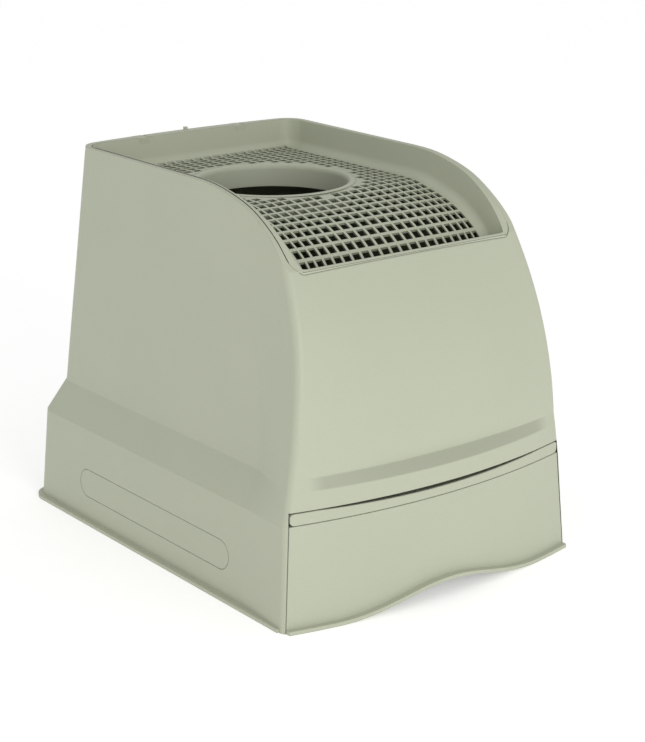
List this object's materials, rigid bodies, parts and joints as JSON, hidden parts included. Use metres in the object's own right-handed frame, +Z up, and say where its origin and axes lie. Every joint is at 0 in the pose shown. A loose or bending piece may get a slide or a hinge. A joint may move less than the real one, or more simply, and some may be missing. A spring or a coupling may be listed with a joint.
{
  "type": "cat litter box with hood",
  "caption": "Top-entry litter box: flared hood with a sunk perforated lid and round entry, rear-hinged, over a pull-out litter drawer with a bowed front.",
  "frame": {"origin": "on the floor, under the middle of the box", "axes": "+X is the right-hand side seen from the front, +Y is the back (the drawer pulls out towards -Y), +Z is up"},
  "size_m": [0.413, 0.569, 0.4475],
  "materials": {
    "hood_plastic": "satin moulded polypropylene, sage green",
    "lid_plastic": "satin moulded polypropylene, sage green",
    "collar_plastic": "satin moulded polypropylene, sage green",
    "front_plastic": "satin moulded polypropylene, sage green",
    "guard_plastic": "satin moulded polypropylene, sage green",
    "panel_plastic": "satin moulded polypropylene, sage green",
    "pan_plastic": "smooth moulded polypropylene, sage green",
    "floor_plastic": "smooth moulded polypropylene, sage green",
    "runner_plastic": "slick moulded acetal, grey green",
    "steel": "zinc plated steel"
  },
  "bodies": {
    "housing": {"hood_shell": "hood_plastic", "base_floor": "floor_plastic", "left_runner": "runner_plastic", "right_runner": "runner_plastic", "left_runner_screws": "steel", "right_runner_screws": "steel", "left_side_panel": "panel_plastic", "right_side_panel": "panel_plastic", "left_hinge_pin": "steel", "right_hinge_pin": "steel"},
    "lid": {"top_lid": "lid_plastic", "entry_collar": "collar_plastic"},
    "drawer": {"litter_pan": "pan_plastic", "spill_guard": "guard_plastic", "drawer_front": "front_plastic", "drawer_front_screws": "steel"}
  },
  "joints": [
    {"name": "drawer_slide", "type": "slide", "parent": "housing", "child": "drawer", "axis": [0, -1, 0], "range_m": [0, 0.42]},
    {"name": "lid_hinge", "type": "hinge", "parent": "housing", "child": "lid", "pos_m": [0, 0.23, 0.434], "axis": [-1, 0, 0], "range_deg": [0, 100]}
  ]
}
